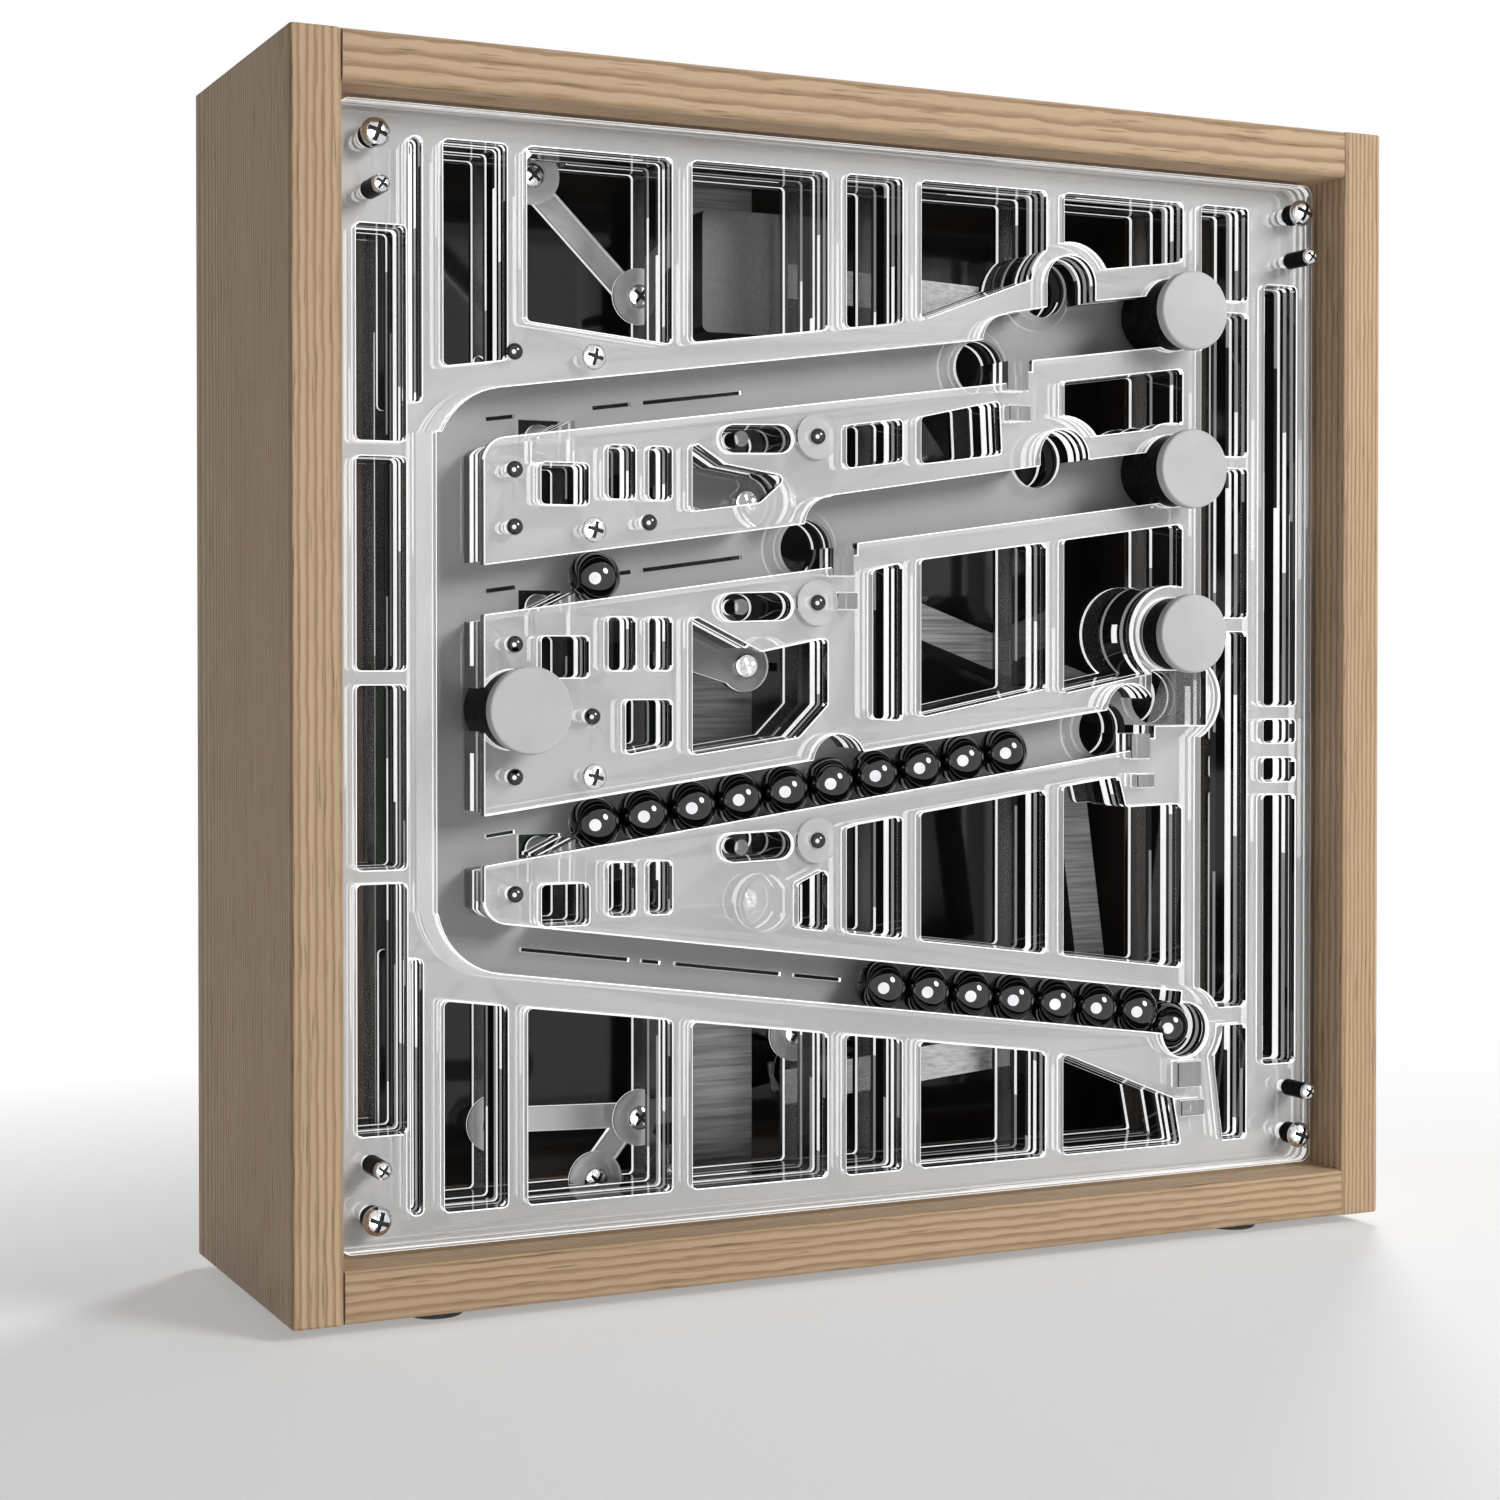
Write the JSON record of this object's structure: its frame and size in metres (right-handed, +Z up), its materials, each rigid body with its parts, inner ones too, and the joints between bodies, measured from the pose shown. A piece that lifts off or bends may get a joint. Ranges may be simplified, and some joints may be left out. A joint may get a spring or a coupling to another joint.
{
  "type": "rolling ball clock",
  "caption": "Clock that tells the time by steel balls resting in sloping tracks between clear sheets in a square wooden case, with push buttons, gates and a belt lift.",
  "frame": {"origin": "centre of the footprint, on the surface that the feet stand on", "axes": "+Z up, -Y out of the glazed front, +X to the right as seen from the front"},
  "size_m": [0.3002, 0.0864, 0.293],
  "materials": {
    "ash_wood": "oiled, open grain",
    "inner_wood": "plain sawn",
    "back_board": "black stained",
    "foot_rubber": "matte",
    "clear_acrylic": "polished, pale grey",
    "trough_steel": "satin",
    "cap_grey": "matte",
    "black_plastic": "gloss black",
    "bright_steel": "bright",
    "ball_chrome": "mirror polished",
    "belt_rubber": "matte",
    "motor_black": "satin black",
    "board_green": "satin"
  },
  "bodies": {
    "case": {"back_panel_screws": "bright_steel", "brace_bars": "clear_acrylic", "brace_discs": "clear_acrylic", "case_back_panel": "back_board", "case_battens": "inner_wood", "case_bottom": "ash_wood", "case_side_left": "ash_wood", "case_side_right": "ash_wood", "case_top": "ash_wood", "control_board": "board_green", "corner_screws": "bright_steel", "front_plate": "clear_acrylic", "gate_pivot_screws": "bright_steel", "hours_drop_trough": "trough_steel", "island_washers": "clear_acrylic", "lift_belt": "belt_rubber", "lift_frame": "trough_steel", "lift_motor": "motor_black", "middle_plate": "clear_acrylic", "minutes_to_tens_trough": "trough_steel", "plate_screws": "bright_steel", "rear_plate": "clear_acrylic", "return_trough": "trough_steel", "rubber_feet": "foot_rubber", "screw_sleeves": "black_plastic", "stack_pins": "bright_steel", "stack_spacers": "clear_acrylic", "standoff_screws": "bright_steel", "tenon_blocks": "clear_acrylic", "tens_to_hours_trough": "trough_steel", "top_trough": "trough_steel", "track_plate_centre": "clear_acrylic", "track_plate_front": "clear_acrylic", "track_plate_rear": "clear_acrylic", "washer_pins": "bright_steel"},
    "minutes_button": {"minutes_button_cap": "cap_grey", "minutes_button_plunger": "black_plastic", "minutes_button_spring": "bright_steel"},
    "tens_button": {"tens_button_cap": "cap_grey", "tens_button_plunger": "black_plastic", "tens_button_spring": "bright_steel"},
    "hours_button": {"hours_button_cap": "cap_grey", "hours_button_plunger": "black_plastic", "hours_button_spring": "bright_steel"},
    "reset_button": {"reset_button_cap": "cap_grey", "reset_button_plunger": "black_plastic", "reset_button_spring": "bright_steel"},
    "minutes_gate": {"minutes_gate_lever": "clear_acrylic"},
    "tens_gate": {"tens_gate_lever": "clear_acrylic"},
    "hours_gate": {"hours_gate_lever": "clear_acrylic"},
    "tens_ball": {"tens_ball": "ball_chrome"},
    "hour_balls": {"hour_balls": "ball_chrome"},
    "queue_balls": {"queue_balls": "ball_chrome"},
    "exit_ball": {"exit_ball": "ball_chrome"},
    "trough_balls": {"trough_balls": "ball_chrome"},
    "rising_run": {"rising_carriers": "black_plastic", "lift_ball": "ball_chrome"},
    "falling_run": {"falling_carriers": "black_plastic"},
    "drive_pulley": {"upper_pulley": "black_plastic"},
    "idler_pulley": {"lower_pulley": "black_plastic"}
  },
  "joints": [
    {"name": "minutes_push", "type": "slide", "parent": "case", "child": "minutes_button", "axis": [0, 1, 0], "range_m": [0, 0.003], "stiffness_N_per_m": 300, "springref_m": -0.003, "deforming": ["minutes_button_spring"]},
    {"name": "tens_push", "type": "slide", "parent": "case", "child": "tens_button", "axis": [0, 1, 0], "range_m": [0, 0.003], "stiffness_N_per_m": 300, "springref_m": -0.003, "deforming": ["tens_button_spring"]},
    {"name": "hours_push", "type": "slide", "parent": "case", "child": "hours_button", "axis": [0, 1, 0], "range_m": [0, 0.003], "stiffness_N_per_m": 300, "springref_m": -0.003, "deforming": ["hours_button_spring"]},
    {"name": "reset_push", "type": "slide", "parent": "case", "child": "reset_button", "axis": [0, 1, 0], "range_m": [0, 0.003], "stiffness_N_per_m": 300, "springref_m": -0.003, "deforming": ["reset_button_spring"]},
    {"name": "minutes_gate_tip", "type": "hinge", "parent": "case", "child": "minutes_gate", "pos_m": [-0.0256, -0.0134, 0.1915], "axis": [0, -1, 0], "range_deg": [0, 5.3], "stiffness_Nm_per_rad": 0.02, "springref_deg": -11.46},
    {"name": "tens_gate_tip", "type": "hinge", "parent": "case", "child": "tens_gate", "pos_m": [-0.0256, -0.0134, 0.1506], "axis": [0, -1, 0], "range_deg": [0, 5.3], "stiffness_Nm_per_rad": 0.02, "springref_deg": -11.46},
    {"name": "hours_gate_tip", "type": "hinge", "parent": "case", "child": "hours_gate", "pos_m": [-0.0256, -0.0134, 0.092], "axis": [0, -1, 0], "range_deg": [0, 5.3], "stiffness_Nm_per_rad": 0.02, "springref_deg": -11.46},
    {"name": "tens_ball_roll", "type": "slide", "parent": "case", "child": "tens_ball", "axis": [0.9909, 0, 0.1348], "range_m": [0, 0.051]},
    {"name": "hour_balls_roll", "type": "slide", "parent": "case", "child": "hour_balls", "axis": [0.9909, 0, 0.1348], "range_m": [0, 0.025]},
    {"name": "queue_balls_roll", "type": "slide", "parent": "case", "child": "queue_balls", "axis": [-0.9909, 0, 0.1348], "range_m": [0, 0.09]},
    {"name": "exit_ball_roll", "type": "slide", "parent": "case", "child": "exit_ball", "axis": [0, 1, 0], "range_m": [0, 0.024]},
    {"name": "trough_balls_roll", "type": "slide", "parent": "case", "child": "trough_balls", "axis": [0.9667, -0.2194, 0.1315], "range_m": [0, 0.0012]},
    {"name": "rising_run_lift", "type": "slide", "parent": "case", "child": "rising_run", "axis": [0, 0, 1], "range_m": [0, 0.05]},
    {"name": "falling_run_drop", "type": "slide", "parent": "case", "child": "falling_run", "axis": [0, 0, -1], "range_m": [0, 0.05]},
    {"name": "drive_pulley_spin", "type": "hinge", "parent": "case", "child": "drive_pulley", "pos_m": [-0.0207, 0.02275, 0.253], "axis": [0, -1, 0], "range_deg": [0, 541.03]},
    {"name": "idler_pulley_spin", "type": "hinge", "parent": "case", "child": "idler_pulley", "pos_m": [-0.0207, 0.02275, 0.033], "axis": [0, -1, 0], "range_deg": [0, 541.03]}
  ],
  "couplings": [
    {"joint": "falling_run_drop", "follows": "rising_run_lift", "ratio": 1},
    {"joint": "drive_pulley_spin", "follows": "rising_run_lift", "rad_per_m": 188.68},
    {"joint": "idler_pulley_spin", "follows": "rising_run_lift", "rad_per_m": 188.68}
  ]
}
